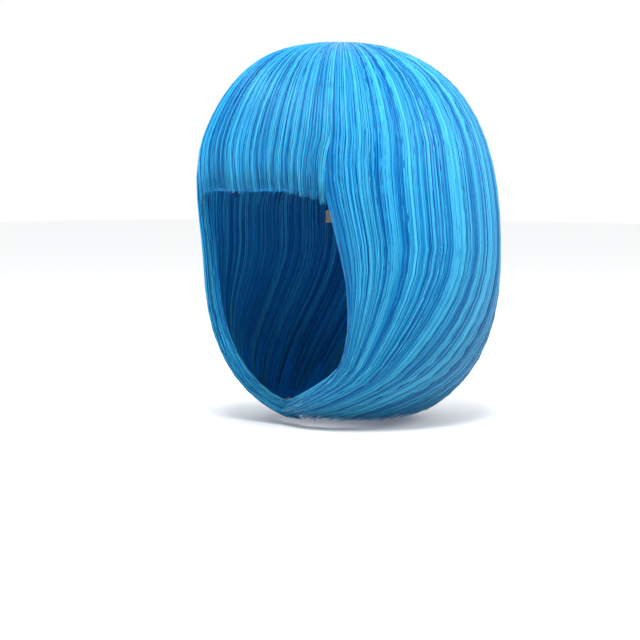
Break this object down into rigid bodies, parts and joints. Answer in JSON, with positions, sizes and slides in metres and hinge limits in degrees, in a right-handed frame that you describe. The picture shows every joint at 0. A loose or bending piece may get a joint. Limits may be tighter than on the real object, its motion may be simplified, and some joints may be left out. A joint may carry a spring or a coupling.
{
  "type": "costume wig",
  "caption": "Short bob costume wig with a full fringe, built on a stretch cap with sewn wefts, bendable ear tabs and hook-and-loop size adjusters",
  "frame": {"origin": "centre of the head opening, level with the cap's front edge at the hairline", "axes": "+Z towards the crown, -Y the way the face looks, +X to the wearer's left"},
  "size_m": [0.214, 0.2538, 0.2807],
  "materials": {
    "hair_fibre": "straight synthetic fibre, soft sheen",
    "stretch_net": "elastic rose net",
    "crown_mesh": "fine monofilament mesh",
    "cap_band": "knitted band, dull",
    "tab_velvet": "brushed knit over a stay",
    "lace_rib": "narrow lace tape",
    "weft_track": "machine-sewn weft track",
    "elastic": "woven elastic",
    "loop_tape": "narrow tape with hooking loops",
    "satin_label": "blank satin label",
    "hook_plastic": "clear-white moulded plastic, semi-gloss",
    "stay_plastic": "bendable plastic-coated strip"
  },
  "bodies": {
    "cap": {"crown_hair": "hair_fibre", "cap_net": "stretch_net", "crown_patch": "crown_mesh", "front_band": "cap_band", "left_side_band": "cap_band", "right_side_band": "cap_band", "nape_band": "cap_band", "back_centre_rib": "lace_rib", "left_back_rib": "lace_rib", "right_back_rib": "lace_rib", "left_side_rib": "lace_rib", "right_side_rib": "lace_rib", "left_temple_rib": "lace_rib", "right_temple_rib": "lace_rib", "fringe_weft_1": "weft_track", "fringe_weft_2": "weft_track", "fringe_weft_3": "weft_track", "weft_1": "weft_track", "weft_2": "weft_track", "weft_3": "weft_track", "weft_4": "weft_track", "weft_5": "weft_track", "weft_6": "weft_track", "weft_7": "weft_track", "weft_8": "weft_track", "weft_9": "weft_track", "weft_10": "weft_track", "left_loop_tape": "loop_tape", "right_loop_tape": "loop_tape", "left_strap_anchor": "elastic", "right_strap_anchor": "elastic", "care_label": "satin_label"},
    "fringe": {"fringe_outer_hair": "hair_fibre", "fringe_under_hair": "hair_fibre"},
    "left_curtain": {"left_outer_hair": "hair_fibre", "left_under_hair": "hair_fibre"},
    "right_curtain": {"right_outer_hair": "hair_fibre", "right_under_hair": "hair_fibre"},
    "back_fall": {"back_outer_hair": "hair_fibre", "back_under_hair": "hair_fibre"},
    "left_tab": {"left_ear_tab": "tab_velvet", "left_ear_stay": "stay_plastic"},
    "right_tab": {"right_ear_tab": "tab_velvet", "right_ear_stay": "stay_plastic"},
    "left_elastic": {"left_strap": "elastic"},
    "right_elastic": {"right_strap": "elastic"},
    "left_elastic_end": {"left_strap_end": "elastic"},
    "right_elastic_end": {"right_strap_end": "elastic"},
    "left_adjuster": {"left_hook": "hook_plastic"},
    "right_adjuster": {"right_hook": "hook_plastic"}
  },
  "joints": [
    {"name": "fringe_lift", "type": "hinge", "parent": "cap", "child": "fringe", "pos_m": [0, -0.10478, 0.0056], "axis": [-1, 0, 0], "range_deg": [0, 35], "stiffness_Nm_per_rad": 0.02, "springref_deg": -11.46},
    {"name": "left_curtain_swing", "type": "hinge", "parent": "cap", "child": "left_curtain", "pos_m": [0.0965, 0.01697, 0.0056], "axis": [0, -1, 0], "range_deg": [0, 25], "stiffness_Nm_per_rad": 0.15, "springref_deg": -6.88},
    {"name": "right_curtain_swing", "type": "hinge", "parent": "cap", "child": "right_curtain", "pos_m": [-0.0965, 0.01697, 0.0056], "axis": [0, 1, 0], "range_deg": [0, 25], "stiffness_Nm_per_rad": 0.15, "springref_deg": -6.88},
    {"name": "back_fall_swing", "type": "hinge", "parent": "cap", "child": "back_fall", "pos_m": [0, 0.13241, 0.0056], "axis": [1, 0, 0], "range_deg": [0, 20], "stiffness_Nm_per_rad": 0.12, "springref_deg": -6.88},
    {"name": "left_tab_bend", "type": "hinge", "parent": "cap", "child": "left_tab", "pos_m": [0.06558, -0.0356, -0.0015], "axis": [0.3725, 0.928, 0], "range_deg": [0, 15]},
    {"name": "right_tab_bend", "type": "hinge", "parent": "cap", "child": "right_tab", "pos_m": [-0.06558, -0.0356, -0.0015], "axis": [0.3725, -0.928, 0], "range_deg": [0, 15]},
    {"name": "left_strap_swing", "type": "hinge", "parent": "cap", "child": "left_elastic", "pos_m": [0.057, 0.06424, -0.053], "axis": [0, 0, 1], "range_deg": [0, 50]},
    {"name": "left_strap_stretch", "type": "slide", "parent": "left_elastic", "child": "left_elastic_end", "axis": [-0.8696, 0.4938, 0], "range_m": [0, 0.01], "stiffness_N_per_m": 50},
    {"name": "left_hook_tilt", "type": "hinge", "parent": "left_elastic_end", "child": "left_adjuster", "pos_m": [0.02135, 0.08247, -0.053], "axis": [0, 0, 1], "range_deg": [0, 70]},
    {"name": "right_strap_swing", "type": "hinge", "parent": "cap", "child": "right_elastic", "pos_m": [-0.057, 0.06424, -0.053], "axis": [0, 0, -1], "range_deg": [0, 50]},
    {"name": "right_strap_stretch", "type": "slide", "parent": "right_elastic", "child": "right_elastic_end", "axis": [0.8696, 0.4938, 0], "range_m": [0, 0.01], "stiffness_N_per_m": 50},
    {"name": "right_hook_tilt", "type": "hinge", "parent": "right_elastic_end", "child": "right_adjuster", "pos_m": [-0.02135, 0.08247, -0.053], "axis": [0, 0, -1], "range_deg": [0, 70]}
  ]
}
